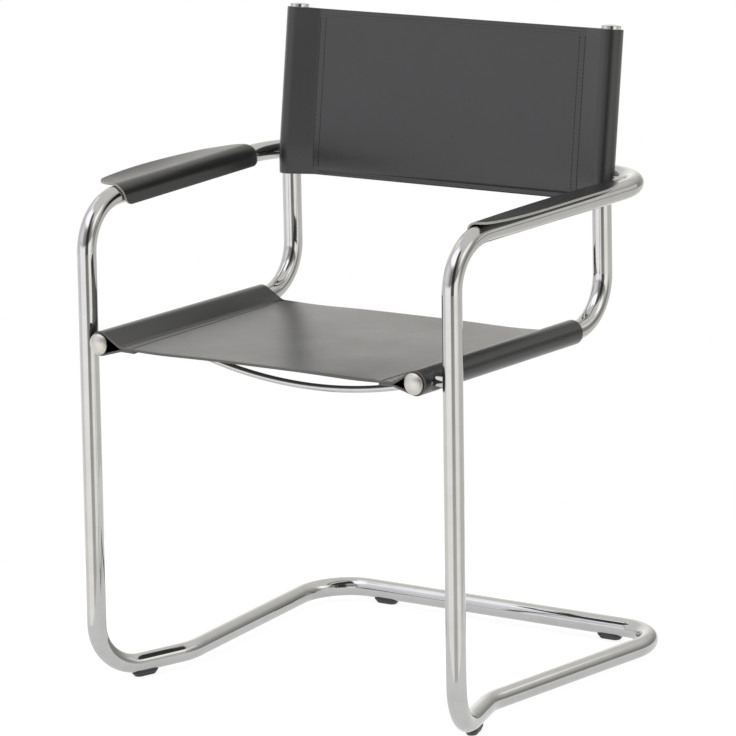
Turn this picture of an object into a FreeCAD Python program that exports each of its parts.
import FreeCAD, Part
import math
import os

os.makedirs("parts", exist_ok=True)

# Cantilever armchair in bent steel tube with stiff leather slings.
# Millimetres. X is across the chair, +Y is towards its back, +Z is up.
# The origin lies on the floor under the middle of the chair's outline.
# The right half is modelled on +X, and the left half is its mirror image.

# Tube stock of every frame piece
tube_diameter = 25.0
tube_wall = 2.0
tube_radius = tube_diameter / 2
tube_bore_radius = tube_radius - tube_wall

# Glides under the base
glide_height = 5.0
glide_length = 38.0
glide_width = 17.0
glide_foot_taper = 4.5
glide_saddle_rise = 4.5
rear_glide_inset = 98.5
front_glide_past_bend = 10.0
glide_screw_diameter = 4.0
glide_screw_head_diameter = 8.0
glide_screw_head_depth = 2.4
glide_screw_recess = 1.0
glide_screw_length = 14.0
glide_screw_socket_width = 3.2
glide_screw_socket_depth = 1.2

# Base: crossbar at the back, runners that splay, and a short link to each foot
base_axis_height = glide_height + tube_radius
base_rear_half_width = 280.0
base_rear_y = 237.0
kink_half_width = 239.0
kink_y = -109.0
foot_y = -240.6
base_rear_bend = 64.5
kink_bend = 63.0
foot_bend = 59.0

# Legs lean back a little, and the arms run level and spread towards the back
arm_height = 621.0
arm_front_half_width = 285.5
leg_inward_lean = 1.0
leg_rearward_lean = 35.1
arm_rear_spread = 14.5
arm_rear_y = 216.0
arm_front_bend = 66.0
arm_rear_bend = 76.0

# Inner side frames: a seat rail that turns up into the back upright
front_spacer_length = 13.6
rear_spacer_length = 15.2
rail_front_y = -241.5
rail_front_height = 452.2
rail_drop = 8.0
lower_upright_lean = 9.0
upper_upright_lean = 35.0
upright_top_height = 812.5
seat_corner_bend = 65.5
upright_bend = 250.0

# Sleeves inside the two butt joints of the outer frame
spigot_length = 80.0
spigot_wall = 2.0
spigot_clearance = 0.1

# Caps
front_cap_diameter = 27.0
front_cap_rim = 2.0
front_cap_dome = 4.6
top_cap_rim = 1.8
top_cap_dome = 1.9
cap_stem_length = 16.0
cap_stem_clearance = 0.2
cap_stem_wall = 2.5
cap_edge_radius = 0.7

# Bolts, spacers and threaded inserts between the two frames
spacer_diameter = 13.0
bolt_diameter = 6.0
bolt_hole_clearance = 0.2
bolt_head_diameter = 10.5
bolt_head_height = 3.3
bolt_socket_width = 4.0
bolt_socket_depth = 2.0
head_socket_land = 0.6
head_shoulder = 0.8
head_swell = 0.5
saddle_washer_diameter = 12.0
saddle_washer_thickness = 1.2
insert_diameter = 10.0
insert_length = 13.0
insert_thread_clearance = 0.05
bolt_tip_gap = 1.0

# Bowed brace rod under the seat
brace_y = -127.5
brace_rod_diameter = 9.0
brace_rod_bite = 2.7
brace_arch_depth = 42.3
brace_seat_angle = 38.0
brace_foot_length = 38.0
brace_foot_width = 14.0
brace_foot_thickness = 3.0
brace_foot_corner = 5.6
brace_screw_spacing = 24.0
brace_screw_diameter = 5.0
brace_screw_head_diameter = 9.0
brace_screw_head_height = 2.5
brace_socket_width = 3.0
brace_socket_depth = 1.5
brace_insert_diameter = 7.5
brace_insert_length = 10.0

# Leather
leather_thickness = 3.0
leather_gap = 0.3
spacer_hole_diameter = 24.0
return_flap = 22.0
seat_seam_inset = 33.0
seat_panel_drop = 3.0
seat_sling_front_gap = 2.0
seat_sling_length = 329.5
brace_window_length = 46.0
brace_window_reach = 31.0
back_seam_inset = 36.5
back_sling_tail = 7.8
back_sling_top_gap = 2.5

# Arm pads: a strip over the tube with a flap down its inner side. Both are cut
# alike, and the left one is sewn on a little further back than the right one.
pad_front_reach = 15.5
pad_rear_gap = 7.8
left_pad_setback = 10.0
pad_strip_width = 30.0
pad_front_skew = 5.0
pad_front_corner = 16.0
pad_rear_taper = 50.0
pad_rear_round = 100.0
pad_tip_width = 12.0
pad_tip_skew = 14.0
pad_tip_corner = 20.0
pad_flap_drop = 13.0
pad_flap_slope = 10.0
pad_fold_corner = 10.0
pad_flap_front_corner = 14.0
pad_flap_rear_corner = 12.0

# How far the strip's outer edge stands above the tube's level, from front to back,
# and how far along the pad it does so
pad_front_lift = 1.0
pad_crest_lift = 6.0
pad_middle_lift = 3.4
pad_rear_lift = -1.8
pad_crest_share = 0.28
pad_middle_share = 0.62

tiny = 1e-6


def point(x, y, z):
    return FreeCAD.Vector(x, y, z)


def along(start, end, distance):
    """The point at a distance from start towards end."""
    step = end.sub(start)
    return start.add(step.multiply(distance / step.Length))


def direction(start, end):
    step = end.sub(start)
    return step.multiply(1.0 / step.Length)


def bend_reach(before, corner, after, radius):
    """Length that a bend takes from each of the straights beside its corner."""
    inner_angle = direction(corner, before).getAngle(direction(corner, after))
    return radius / math.tan(inner_angle / 2)


def bend_centre(before, corner, after, radius):
    into = direction(corner, before)
    out = direction(corner, after)
    inner_angle = into.getAngle(out)
    middle = into.add(out)
    middle.normalize()
    return corner.add(middle.multiply(radius / math.sin(inner_angle / 2)))


def bent_path(corners, radii):
    """Straights joined by tangent arcs, one radius for each inner corner."""
    edges = []
    start = corners[0]
    for index, radius in enumerate(radii):
        before = corners[index]
        corner = corners[index + 1]
        after = corners[index + 2]
        reach = bend_reach(before, corner, after, radius)
        entry = along(corner, before, reach)
        leave = along(corner, after, reach)
        centre = bend_centre(before, corner, after, radius)
        crown = along(centre, corner, radius)
        edges.append(Part.LineSegment(start, entry).toShape())
        edges.append(Part.Arc(entry, crown, leave).toShape())
        start = leave
    edges.append(Part.LineSegment(start, corners[-1]).toShape())
    return Part.Wire(edges)


def pipe(corners, radii, radius):
    """Round bar that follows a bent path."""
    path = bent_path(corners, radii)
    ring = Part.makeCircle(radius, corners[0], direction(corners[0], corners[1]))
    return path.makePipe(Part.Face(Part.Wire(ring)))


def rod(start, end, radius):
    return Part.makeCylinder(radius, end.sub(start).Length, start, end.sub(start))


def mirrored(shape):
    """The left-hand twin of a right-hand piece."""
    return shape.mirror(point(0, 0, 0), point(1, 0, 0))


def placed(shape, origin, axis):
    """Moves a piece that was made along +Z at the origin onto an axis."""
    turn = FreeCAD.Rotation(point(0, 0, 1), axis)
    copy = shape.copy()
    copy.Placement = FreeCAD.Placement(origin, turn)
    return copy


def polygon_face(points):
    return Part.Face(Part.makePolygon(points + [points[0]]))


def rounded_face(corners, radii):
    """Flat face with a radius for each of its corners."""
    start = corners[0].add(corners[-1]).multiply(0.5)
    return Part.Face(bent_path([start] + corners + [start], radii))


def revolved(outline):
    """Solid of revolution about Z from (radius, height) points."""
    flat = [point(radius, 0, height) for radius, height in outline]
    return polygon_face(flat).revolve(point(0, 0, 0), point(0, 0, 1), 360)


def hexagon_bar(width, length):
    corner_radius = width / math.sqrt(3)
    corners = []
    for step in range(6):
        angle = math.radians(60 * step)
        corners.append(point(corner_radius * math.cos(angle), corner_radius * math.sin(angle), 0))
    return polygon_face(corners).extrude(point(0, 0, length))


def save(name, *solids):
    if len(solids) == 1:
        shape = solids[0]
    else:
        shape = Part.makeCompound(list(solids))
    for solid in shape.Solids:
        if not solid.isValid():
            print("not a valid solid:", name)
    box = shape.BoundBox
    print(f"{name}: {len(shape.Solids)} solid, volume {shape.Volume:.0f},"
          f" x {box.XMin:.1f} to {box.XMax:.1f}, y {box.YMin:.1f} to {box.YMax:.1f},"
          f" z {box.ZMin:.1f} to {box.ZMax:.1f}")
    shape.exportStep("parts/" + name + ".step")


foot_half_width = arm_front_half_width - leg_inward_lean
arm_front_y = foot_y + leg_rearward_lean
arm_rear_half_width = arm_front_half_width + arm_rear_spread

# Route of the outer frame, right half, from mid crossbar to the middle behind the back
crossbar_middle = point(0, base_rear_y, base_axis_height)
base_corner = point(base_rear_half_width, base_rear_y, base_axis_height)
kink = point(kink_half_width, kink_y, base_axis_height)
foot = point(foot_half_width, foot_y, base_axis_height)
arm_front = point(arm_front_half_width, arm_front_y, arm_height)
arm_corner = point(arm_rear_half_width, arm_rear_y, arm_height)
arm_middle = point(0, arm_rear_y, arm_height)
outer_corners = [crossbar_middle, base_corner, kink, foot, arm_front, arm_corner, arm_middle]
outer_radii = [base_rear_bend, kink_bend, foot_bend, arm_front_bend, arm_rear_bend]


def leg_at(height):
    share = (height - base_axis_height) / (arm_height - base_axis_height)
    return foot.add(arm_front.sub(foot).multiply(share))


# Route of the inner side frame: it lies a spacer inboard of the leg, and its
# upright stands a spacer away from the rear bend of the arm
rail_half_spacing = leg_at(rail_front_height).x - tube_diameter - front_spacer_length
arm_bend_centre = bend_centre(arm_front, arm_corner, arm_middle, arm_rear_bend)
upright_to_centre = arm_rear_bend - tube_diameter - rear_spacer_length
upright_x_offset = rail_half_spacing - arm_bend_centre.x
upright_y = arm_bend_centre.y + math.sqrt(upright_to_centre ** 2 - upright_x_offset ** 2)
seat_corner_y = upright_y - lower_upright_lean
seat_corner_height = rail_front_height - rail_drop
rail_front = point(rail_half_spacing, rail_front_y, rail_front_height)
seat_corner = point(rail_half_spacing, seat_corner_y, seat_corner_height)
upright_corner = point(rail_half_spacing, upright_y, arm_height)
upright_top = point(rail_half_spacing, upright_y + upper_upright_lean, upright_top_height)
inner_corners = [rail_front, seat_corner, upright_corner, upright_top]
inner_radii = [seat_corner_bend, upright_bend]
rail_direction = direction(rail_front, seat_corner)
upper_direction = direction(upright_corner, upright_top)
lower_direction = direction(seat_corner, upright_corner)


def rail_at(y):
    share = (y - rail_front_y) / (seat_corner_y - rail_front_y)
    return rail_front.add(seat_corner.sub(rail_front).multiply(share))


def front_bolt_points():
    """Where the rail's axis passes the leg's axis, seen from the side."""
    leg_slope = (arm_front_y - foot_y) / (arm_height - base_axis_height)
    rail_slope = (seat_corner_height - rail_front_height) / (seat_corner_y - rail_front_y)
    height_gap = rail_front_height - base_axis_height - rail_slope * rail_front_y
    y = (foot_y + leg_slope * height_gap) / (1 - leg_slope * rail_slope)
    on_rail = rail_at(y)
    on_leg = point(leg_at(on_rail.z).x, on_rail.y, on_rail.z)
    return on_rail, on_leg


def rear_bolt_points():
    """From the upright's bend, square to the arm tube's rear bend."""
    outward = direction(arm_bend_centre, point(upright_corner.x, upright_corner.y, arm_height))
    on_arm = arm_bend_centre.add(outward * arm_rear_bend)
    reach = bend_reach(seat_corner, upright_corner, upright_top, upright_bend)
    inner_angle = lower_direction.getAngle(upper_direction)
    crown_shift = reach * math.tan(inner_angle / 4)
    return upright_corner.add(point(0, crown_shift, 0)), on_arm


# Bars that fill the tubes: they cut seats for what bears on the tube's outside
outer_bar = pipe(outer_corners, outer_radii, tube_radius)
outer_bore = pipe(outer_corners, outer_radii, tube_bore_radius)
inner_bar = pipe(inner_corners, inner_radii, tube_radius)
inner_bore = pipe(inner_corners, inner_radii, tube_bore_radius)

front_on_rail, front_on_leg = front_bolt_points()
rear_on_upright, rear_on_arm = rear_bolt_points()
front_axis = direction(front_on_rail, front_on_leg)
rear_axis = direction(rear_on_upright, rear_on_arm)
bolt_hole_radius = bolt_diameter / 2 + bolt_hole_clearance


def threaded_insert(on_axis, inward, bar, diameter, length, thread_diameter):
    """Bush let into the tube wall, its outer end flush with the tube."""
    outside = on_axis.sub(inward * tube_diameter)
    inner_end = on_axis.sub(inward * (tube_radius - length))
    body = rod(outside, inner_end, diameter / 2)
    thread = rod(outside, inner_end, thread_diameter / 2 + insert_thread_clearance)
    return body.common(bar).cut(thread)


def insert_seat(on_axis, inward, diameter):
    """Hole in one wall of a tube for a threaded insert."""
    return rod(on_axis.sub(inward * tube_diameter), on_axis, diameter / 2)


# Brace: its feet lie on the lower inner side of the rails, square to them
brace_on_rail = rail_at(brace_y)
brace_lean = math.radians(brace_seat_angle)
brace_aside = point(math.cos(brace_lean), 0, math.sin(brace_lean))
brace_square = brace_aside.sub(rail_direction * brace_aside.dot(rail_direction))
brace_inward = brace_square.multiply(1 / brace_square.Length)
brace_foot_middle = brace_on_rail.sub(brace_inward * (tube_radius + brace_foot_thickness))
brace_screw_axes = []
for side in (-1, 1):
    brace_screw_axes.append(brace_on_rail.add(rail_direction * (side * brace_screw_spacing / 2)))


def outer_frame_half():
    tube = outer_bar.cut(outer_bore)
    tube = tube.cut(insert_seat(front_on_leg, front_axis, insert_diameter))
    tube = tube.cut(insert_seat(rear_on_arm, rear_axis, insert_diameter))
    for centre, run in glide_places():
        pilot = rod(point(centre.x, centre.y, 0), centre, glide_screw_diameter / 2)
        tube = tube.cut(pilot)
    return tube


def side_frame():
    tube = inner_bar.cut(inner_bore)
    tube = tube.cut(rod(front_on_rail.sub(front_axis * tube_diameter), front_on_leg, bolt_hole_radius))
    tube = tube.cut(rod(rear_on_upright.sub(rear_axis * tube_diameter), rear_on_arm, bolt_hole_radius))
    tube = tube.cut(countersink())
    for on_axis in brace_screw_axes:
        tube = tube.cut(insert_seat(on_axis, brace_inward, brace_insert_diameter))
    return tube


def spigot(middle):
    outer_radius = tube_bore_radius - spigot_clearance
    half = point(spigot_length / 2, 0, 0)
    sleeve = rod(middle.sub(half), middle.add(half), outer_radius)
    bore = rod(middle.sub(half), middle.add(half), outer_radius - spigot_wall)
    return sleeve.cut(bore)


def spacer(on_inner, on_outer):
    """Round spacer with both ends hollowed to seat on the two tubes."""
    body = rod(on_inner, on_outer, spacer_diameter / 2)
    body = body.cut(rod(on_inner, on_outer, bolt_hole_radius))
    return body.cut(inner_bar).cut(outer_bar)


def button_head(diameter, height, socket_width, socket_depth):
    """Low domed head, underside at z = 0, with a hexagon socket in its crown."""
    socket = hexagon_bar(socket_width, socket_depth)
    socket.translate(point(0, 0, height - socket_depth))
    rim = point(diameter / 2, 0, 0)
    shoulder = point(diameter / 2, 0, head_shoulder)
    crown = point(socket_width / math.sqrt(3) + head_socket_land, 0, height)
    slope = direction(shoulder, crown)
    swell = shoulder.add(crown).multiply(0.5).add(point(slope.z, 0, -slope.x) * head_swell)
    outline = [Part.LineSegment(point(0, 0, 0), rim).toShape(),
               Part.LineSegment(rim, shoulder).toShape(),
               Part.Arc(shoulder, swell, crown).toShape(),
               Part.LineSegment(crown, point(0, 0, height)).toShape(),
               Part.LineSegment(point(0, 0, height), point(0, 0, 0)).toShape()]
    head = Part.Face(Part.Wire(outline)).revolve(point(0, 0, 0), point(0, 0, 1), 360)
    return head.cut(socket)


def front_bolt():
    """Its head is on the rail's inner side, hidden in the hollow of the sleeve."""
    seat = front_on_rail.sub(front_axis * (tube_radius + saddle_washer_thickness))
    tip = front_on_leg.sub(front_axis * (tube_radius - insert_length + bolt_tip_gap))
    head = button_head(bolt_head_diameter, bolt_head_height, bolt_socket_width, bolt_socket_depth)
    head = placed(head, seat, front_axis * -1)
    return head.fuse(rod(seat, tip, bolt_diameter / 2)).removeSplitter()


def front_bolt_washer():
    """Saddle washer: round and flat under the head, hollowed to the tube below."""
    seat = front_on_rail.sub(front_axis * (tube_radius + saddle_washer_thickness))
    washer = rod(seat, front_on_rail, saddle_washer_diameter / 2)
    washer = washer.cut(rod(seat, front_on_rail, bolt_hole_radius))
    return washer.cut(inner_bar)


def countersink():
    """Cone in the upright for a head that lies flush under the leather."""
    head_face = rear_on_upright.sub(rear_axis * tube_radius)
    depth = (bolt_head_diameter - bolt_diameter) / 2
    return Part.makeCone(bolt_head_diameter / 2, bolt_diameter / 2, depth, head_face, rear_axis)


def rear_bolt():
    """Flush screw through the upright and the spacer into the arm tube's rear bend."""
    head_face = rear_on_upright.sub(rear_axis * tube_radius)
    tip = rear_on_arm.sub(rear_axis * (tube_radius - insert_length + bolt_tip_gap))
    bolt = countersink().fuse(rod(head_face, tip, bolt_diameter / 2))
    socket = placed(hexagon_bar(bolt_socket_width, bolt_socket_depth), head_face, rear_axis)
    bolt = bolt.cut(socket)
    beyond_upright = rod(rear_on_upright, rear_on_arm.add(rear_axis * tube_radius), bolt_diameter)
    return bolt.common(inner_bar.fuse(beyond_upright))


def brace_foot():
    """Small plate hollowed to the rail, with a hole for a screw each side of the rod."""
    half_run = rail_direction * (brace_foot_length / 2)
    across = rail_direction.cross(brace_inward)
    half_width = across * (brace_foot_width / 2)
    near = brace_foot_middle.sub(half_run)
    far = brace_foot_middle.add(half_run)
    corners = [near.sub(half_width), far.sub(half_width), far.add(half_width), near.add(half_width)]
    plate = polygon_face(corners).extrude(brace_inward * (brace_foot_thickness + tube_radius / 2))
    upright_edges = []
    for edge in plate.Edges:
        run = edge.Vertexes[1].Point.sub(edge.Vertexes[0].Point)
        if abs(abs(run.normalize().dot(brace_inward)) - 1) < tiny:
            upright_edges.append(edge)
    plate = plate.makeFillet(brace_foot_corner, upright_edges)
    hole_radius = brace_screw_diameter / 2 + bolt_hole_clearance
    for on_axis in brace_screw_axes:
        plate = plate.cut(rod(on_axis.sub(brace_inward * tube_diameter), on_axis, hole_radius))
    return plate.cut(inner_bar)


def under_seat_brace():
    """Rod bowed in one arc between the two rails, welded to a foot at each end."""
    end = brace_foot_middle
    lowest = point(0, end.y, end.z - brace_arch_depth)
    radius = (end.x ** 2 + brace_arch_depth ** 2) / (2 * brace_arch_depth)
    end_slope = math.asin(end.x / radius)
    rod_run = point(math.cos(end_slope), 0, math.sin(end_slope))
    section = Part.makeCircle(brace_rod_diameter / 2, end, rod_run)
    centre = point(0, end.y, lowest.z + radius)
    bow = Part.Face(Part.Wire(section)).revolve(centre, point(0, 1, 0), 2 * math.degrees(end_slope))
    stub_end = end.add(rod_run * brace_rod_bite)
    stub = rod(end, stub_end, brace_rod_diameter / 2)
    half = brace_foot().fuse(stub.cut(inner_bar))
    return bow.fuse([half, mirrored(half)]).removeSplitter()


def brace_screw(on_axis):
    seat = on_axis.sub(brace_inward * (tube_radius + brace_foot_thickness))
    tip = on_axis.sub(brace_inward * (tube_radius - brace_insert_length + bolt_tip_gap))
    head = button_head(brace_screw_head_diameter, brace_screw_head_height,
                       brace_socket_width, brace_socket_depth)
    head = placed(head, seat, brace_inward * -1)
    return head.fuse(rod(seat, tip, brace_screw_diameter / 2)).removeSplitter()


def cap(rim_radius, rim_height, dome_height):
    """Domed plug with a rounded edge, its rim's underside at z = 0, with a hollow stem below."""
    stem_radius = tube_bore_radius - cap_stem_clearance
    stem_bore = stem_radius - cap_stem_wall
    dome_radius = (rim_radius ** 2 + dome_height ** 2) / (2 * dome_height)
    dome_centre = point(0, 0, rim_height + dome_height - dome_radius)
    crown = point(0, 0, rim_height + dome_height)
    round_out = rim_radius - cap_edge_radius
    round_up = math.sqrt((dome_radius - cap_edge_radius) ** 2 - round_out ** 2)
    round_centre = dome_centre.add(point(round_out, 0, round_up))
    dome_edge = along(dome_centre, round_centre, dome_radius)
    rim_edge = round_centre.add(point(cap_edge_radius, 0, 0))
    round_middle = along(round_centre, rim_edge.add(dome_edge).multiply(0.5), cap_edge_radius)
    dome_middle = along(dome_centre, dome_edge.add(crown).multiply(0.5), dome_radius)
    below = [point(0, 0, -tube_wall), point(stem_bore, 0, -tube_wall),
             point(stem_bore, 0, -cap_stem_length), point(stem_radius, 0, -cap_stem_length),
             point(stem_radius, 0, 0), point(rim_radius, 0, 0), rim_edge]
    outline = []
    for start, end in zip(below, below[1:]):
        outline.append(Part.LineSegment(start, end).toShape())
    outline.append(Part.Arc(rim_edge, round_middle, dome_edge).toShape())
    outline.append(Part.Arc(dome_edge, dome_middle, crown).toShape())
    outline.append(Part.LineSegment(crown, below[0]).toShape())
    return Part.Face(Part.Wire(outline)).revolve(point(0, 0, 0), point(0, 0, 1), 360)


def front_end_cap():
    plug = cap(front_cap_diameter / 2, front_cap_rim, front_cap_dome)
    return placed(plug, rail_front, rail_direction * -1)


def top_end_cap():
    return placed(cap(tube_radius, top_cap_rim, top_cap_dome), upright_top, upper_direction)


def glide_places():
    """Right-hand glides: tube axis points and the tube's run over each."""
    link = direction(foot, kink)
    front = foot.add(link * (foot_bend + front_glide_past_bend))
    rear = base_corner.sub(point(rear_glide_inset, 0, 0))
    return [(front, link), (rear, point(1, 0, 0))]


def stadium(length, width, height):
    """Flat outline with round ends, lying at a height."""
    half = (length - width) / 2
    radius = width / 2
    low_left = point(-half, -radius, height)
    low_right = point(half, -radius, height)
    high_right = point(half, radius, height)
    high_left = point(-half, radius, height)
    edges = [Part.LineSegment(low_left, low_right).toShape(),
             Part.Arc(low_right, point(half + radius, 0, height), high_right).toShape(),
             Part.LineSegment(high_right, high_left).toShape(),
             Part.Arc(high_left, point(-half - radius, 0, height), low_left).toShape()]
    return Part.Wire(edges)


def glide(centre, run):
    """Nylon pad with tapered ends, hollowed on top to hold the tube."""
    foot_outline = stadium(glide_length - 2 * glide_foot_taper, glide_width - glide_foot_taper, 0)
    waist = stadium(glide_length, glide_width, glide_height)
    lip = stadium(glide_length, glide_width, glide_height + glide_saddle_rise)
    pad = Part.makeLoft([foot_outline, waist], True, True).fuse(Part.makeLoft([waist, lip], True, True))
    pad = pad.removeSplitter()
    recess_depth = glide_screw_recess + glide_screw_head_depth
    pad = pad.cut(Part.makeCylinder(glide_screw_head_diameter / 2, recess_depth))
    pad = pad.cut(Part.makeCylinder(glide_screw_diameter / 2, glide_height + glide_saddle_rise))
    turn = FreeCAD.Rotation(point(1, 0, 0), run)
    pad.Placement = FreeCAD.Placement(point(centre.x, centre.y, 0), turn)
    return pad.cut(outer_bar)


def glide_screw(centre):
    head = Part.makeCylinder(glide_screw_head_diameter / 2, glide_screw_head_depth)
    socket = hexagon_bar(glide_screw_socket_width, glide_screw_socket_depth)
    shank = Part.makeCylinder(glide_screw_diameter / 2, glide_screw_length)
    screw = head.fuse(shank).cut(socket)
    screw.translate(point(centre.x, centre.y, glide_screw_recess))
    return screw.removeSplitter()


def sling_profile(seam_inset, seam_level):
    """
    Section across a sling: a panel, and round each tube a drop-shaped sleeve whose
    upper layer runs on into the panel and whose lower layer ends in a sewn flap.
    Points are (across, out of the panel's plane) from the line midway between the tubes.
    """
    inner_radius = tube_radius + leather_gap
    outer_radius = inner_radius + leather_thickness
    seam = (rail_half_spacing - seam_inset, seam_level)
    seam_to_tube = math.hypot(seam_inset, seam_level)
    tube_bearing = math.atan2(-seam_level, seam_inset)
    opening = math.asin(inner_radius / seam_to_tube)
    upper = tube_bearing + opening
    lower = tube_bearing - opening
    upper_normal = (-math.sin(upper), math.cos(upper))
    lower_normal = (math.sin(lower), -math.cos(lower))
    panel_top = seam_level + leather_thickness
    flap_bottom = seam_level - leather_thickness
    flap_end = seam[0] - return_flap
    upper_turn = seam[0] - leather_thickness * math.tan(upper / 2)
    lower_turn = seam[0] - leather_thickness * math.tan(-lower / 2)

    def ring_point(normal, radius):
        return (rail_half_spacing + normal[0] * radius, normal[1] * radius)

    def flipped(place):
        return (-place[0], place[1])

    outer_upper = ring_point(upper_normal, outer_radius)
    outer_lower = ring_point(lower_normal, outer_radius)
    outer_side = ring_point((1, 0), outer_radius)
    right = [("line", (upper_turn, panel_top), outer_upper), ("arc", outer_upper, outer_side, outer_lower),
             ("line", outer_lower, (lower_turn, flap_bottom)),
             ("line", (lower_turn, flap_bottom), (flap_end, flap_bottom)),
             ("line", (flap_end, flap_bottom), (flap_end, seam_level))]
    hollow_upper = ring_point(upper_normal, inner_radius)
    hollow_lower = ring_point(lower_normal, inner_radius)
    hollow_side = ring_point((1, 0), inner_radius)
    hollow = [("line", seam, hollow_upper), ("arc", hollow_upper, hollow_side, hollow_lower),
              ("line", hollow_lower, seam)]
    left = []
    for piece in reversed(right):
        left.append((piece[0],) + tuple(flipped(place) for place in reversed(piece[1:])))
    bottom = [("line", (flap_end, seam_level), (-flap_end, seam_level))]
    top = [("line", (-upper_turn, panel_top), (upper_turn, panel_top))]
    other_hollow = []
    for piece in reversed(hollow):
        other_hollow.append((piece[0],) + tuple(flipped(place) for place in reversed(piece[1:])))
    return [right + bottom + left + top, hollow, other_hollow]


def profile_face(outlines, origin, across, out):
    """Draws a section's outlines in space: across and out are its two directions."""
    wires = []
    for outline in outlines:
        edges = []
        for piece in outline:
            places = [origin.add(across * place[0]).add(out * place[1]) for place in piece[1:]]
            if piece[0] == "line":
                edges.append(Part.LineSegment(places[0], places[1]).toShape())
            else:
                edges.append(Part.Arc(places[0], places[1], places[2]).toShape())
        wires.append(Part.Wire(edges))
    return Part.makeFace(wires, "Part::FaceMakerBullseye")


def spacer_opening(start, axis):
    """Round hole punched in a sleeve's outer side, where a spacer passes through."""
    return rod(start, start.add(axis * tube_diameter), spacer_hole_diameter / 2)


def seat_sling():
    start = rail_front.add(rail_direction * seat_sling_front_gap)
    origin = point(0, start.y, start.z)
    upward = point(1, 0, 0).cross(rail_direction)
    seam_level = -seat_panel_drop - leather_thickness / 2
    face = profile_face(sling_profile(seat_seam_inset, seam_level), origin, point(1, 0, 0), upward)
    sling = face.extrude(rail_direction * seat_sling_length)
    hole = spacer_opening(front_on_rail, front_axis)
    window_low = brace_on_rail.sub(upward * tube_diameter).sub(rail_direction * (brace_window_length / 2))
    window_low = window_low.sub(point(brace_window_reach, 0, 0))
    window = Part.makeBox(brace_window_reach, brace_window_length, tube_diameter + seam_level)
    window.Placement = FreeCAD.Placement(window_low, FreeCAD.Rotation(point(0, 1, 0), rail_direction))
    return sling.cut([hole, mirrored(hole), window, mirrored(window)])


def back_sling():
    """Its section follows the upright: a short straight, the bend, then a long straight."""
    reach = bend_reach(seat_corner, upright_corner, upright_top, upright_bend)
    bend_start = along(upright_corner, seat_corner, reach)
    bend_end = along(upright_corner, upright_top, reach)
    centre = bend_centre(seat_corner, upright_corner, upright_top, upright_bend)
    turn = math.degrees(lower_direction.getAngle(upper_direction))
    start = bend_start.sub(lower_direction * back_sling_tail)
    forward = lower_direction.cross(point(1, 0, 0))
    if forward.y > 0:
        forward = forward * -1
    outlines = sling_profile(back_seam_inset, -leather_thickness / 2)
    face = profile_face(outlines, point(0, start.y, start.z), point(1, 0, 0), forward)
    tail = face.extrude(lower_direction * back_sling_tail)
    face.translate(lower_direction * back_sling_tail)
    bend = face.revolve(point(0, centre.y, centre.z), point(-1, 0, 0), turn)
    face.rotate(point(0, centre.y, centre.z), point(-1, 0, 0), turn)
    upper_length = upright_top.sub(bend_end).Length - back_sling_top_gap
    rise = face.extrude(upper_direction * upper_length)
    sling = tail.fuse([bend, rise]).removeSplitter()
    hole = spacer_opening(rear_on_upright, rear_axis)
    return sling.cut([hole, mirrored(hole)])


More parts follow.
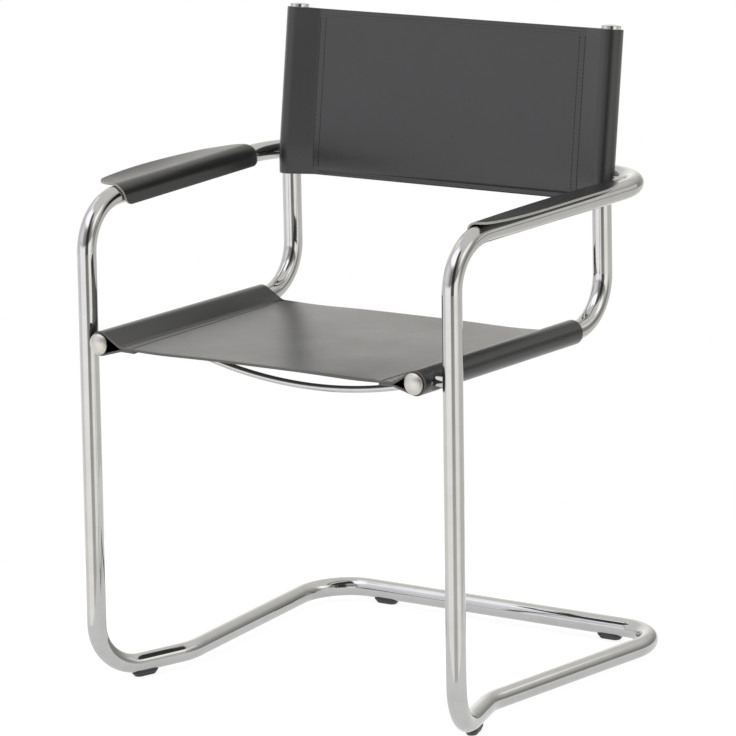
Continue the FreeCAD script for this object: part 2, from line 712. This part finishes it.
def arm_pad(setback):
    """
    Strip and flap in one section along the arm. The strip's outer edge lifts and
    settles again, so sections that differ in lift are joined, and the sheet is
    then trimmed to its plan and to its side view.
    """
    run = direction(arm_front, arm_corner)
    outboard = run.cross(point(0, 0, 1))
    front_reach = bend_reach(foot, arm_front, arm_corner, arm_front_bend)
    rear_reach = bend_reach(arm_front, arm_corner, arm_middle, arm_rear_bend)
    front_end = arm_front.add(run * (front_reach - pad_front_reach + setback))
    rear_end = arm_corner.sub(run * (rear_reach + pad_rear_gap - setback))
    length = rear_end.sub(front_end).Length
    inner_radius = tube_radius + leather_gap
    outer_radius = inner_radius + leather_thickness
    slant = math.sqrt(0.5)
    strip_edge = pad_strip_width + leather_thickness
    flap_edge = -pad_flap_drop - leather_thickness

    def spot(back, out, up):
        return front_end.add(run * back).add(outboard * out).add(point(0, 0, up))

    def strip_curve(back, radius, lift):
        """Level where it leaves the tube's top, then rising to the lift."""
        curve = Part.BezierCurve()
        curve.setPoles([spot(back, 0, radius), spot(back, strip_edge / 2, radius),
                        spot(back, strip_edge, radius + lift)])
        return curve.toShape()

    def fold_curve(back, radius):
        return Part.Arc(spot(back, 0, radius), spot(back, -radius * slant, radius * slant),
                        spot(back, -radius, 0)).toShape()

    def section(back, lift):
        edge_top = spot(back, strip_edge, outer_radius + lift)
        edge_bottom = spot(back, strip_edge, inner_radius + lift)
        under_fold = spot(back, -inner_radius, 0)
        beside_fold = spot(back, -outer_radius, 0)
        flap_inside = spot(back, -inner_radius, flap_edge)
        flap_outside = spot(back, -outer_radius, flap_edge)
        return Part.Wire([strip_curve(back, outer_radius, lift),
                          Part.LineSegment(edge_top, edge_bottom).toShape(),
                          strip_curve(back, inner_radius, lift),
                          fold_curve(back, inner_radius),
                          Part.LineSegment(under_fold, flap_inside).toShape(),
                          Part.LineSegment(flap_inside, flap_outside).toShape(),
                          Part.LineSegment(flap_outside, beside_fold).toShape(),
                          fold_curve(back, outer_radius)])

    sections = [section(0, pad_front_lift), section(length * pad_crest_share, pad_crest_lift),
                section(length * pad_middle_share, pad_middle_lift), section(length, pad_rear_lift)]
    sheet = Part.makeLoft(sections, True)
    # Corners beyond the sheet are rounded too, where that trims nothing
    beyond = outer_radius + leather_thickness
    free_corner = leather_thickness
    low = -tube_diameter
    plan = rounded_face([spot(0, -beyond, low), spot(pad_front_skew, pad_strip_width, low),
                         spot(length - pad_rear_taper, pad_strip_width, low),
                         spot(length - pad_tip_skew, pad_tip_width, low), spot(length, -beyond, low)],
                        [free_corner, pad_front_corner, pad_rear_round, pad_tip_corner, free_corner])
    side = rounded_face([spot(0, -beyond, tube_diameter), spot(0, -beyond, tube_radius),
                         spot(pad_flap_slope, -beyond, -pad_flap_drop), spot(length, -beyond, -pad_flap_drop),
                         spot(length, -beyond, tube_diameter)],
                        [free_corner, pad_fold_corner, pad_flap_front_corner, pad_flap_rear_corner,
                         free_corner])
    plan_trim = plan.extrude(point(0, 0, 2 * tube_diameter))
    side_trim = side.extrude(outboard * (beyond + strip_edge))
    return sheet.common(plan_trim).common(side_trim)


def save_pair(name, shape):
    save(name + "_right", shape)
    save(name + "_left", mirrored(shape))


def save_group(name, shapes):
    both = []
    for shape in shapes:
        both.append(shape)
        both.append(mirrored(shape))
    save(name, *both)


save_pair("outer_frame", outer_frame_half())
save("base_joint_spigot", spigot(crossbar_middle))
save("arm_joint_spigot", spigot(arm_middle))
save_pair("side_frame", side_frame())
save("under_seat_brace", under_seat_brace())
save_pair("front_end_cap", front_end_cap())
save_pair("top_end_cap", top_end_cap())
save_pair("front_spacer", spacer(front_on_rail, front_on_leg))
save_pair("rear_spacer", spacer(rear_on_upright, rear_on_arm))
save_group("front_bolts", [front_bolt()])
save_group("front_bolt_washers", [front_bolt_washer()])
save_group("rear_bolts", [rear_bolt()])
save_group("leg_inserts", [threaded_insert(front_on_leg, front_axis, outer_bar, insert_diameter,
                                           insert_length, bolt_diameter)])
save_group("arm_inserts", [threaded_insert(rear_on_arm, rear_axis, outer_bar, insert_diameter,
                                           insert_length, bolt_diameter)])
save_group("brace_screws", [brace_screw(on_axis) for on_axis in brace_screw_axes])
save_group("brace_inserts", [threaded_insert(on_axis, brace_inward, inner_bar, brace_insert_diameter,
                                             brace_insert_length, brace_screw_diameter)
                             for on_axis in brace_screw_axes])
save("seat_sling", seat_sling())
save("back_sling", back_sling())
save("arm_pad_right", arm_pad(0))
save("arm_pad_left", mirrored(arm_pad(left_pad_setback)))
for name, (centre, run) in zip(["front_glide", "rear_glide"], glide_places()):
    save_pair(name, glide(centre, run))
save_group("glide_screws", [glide_screw(centre) for centre, run in glide_places()])
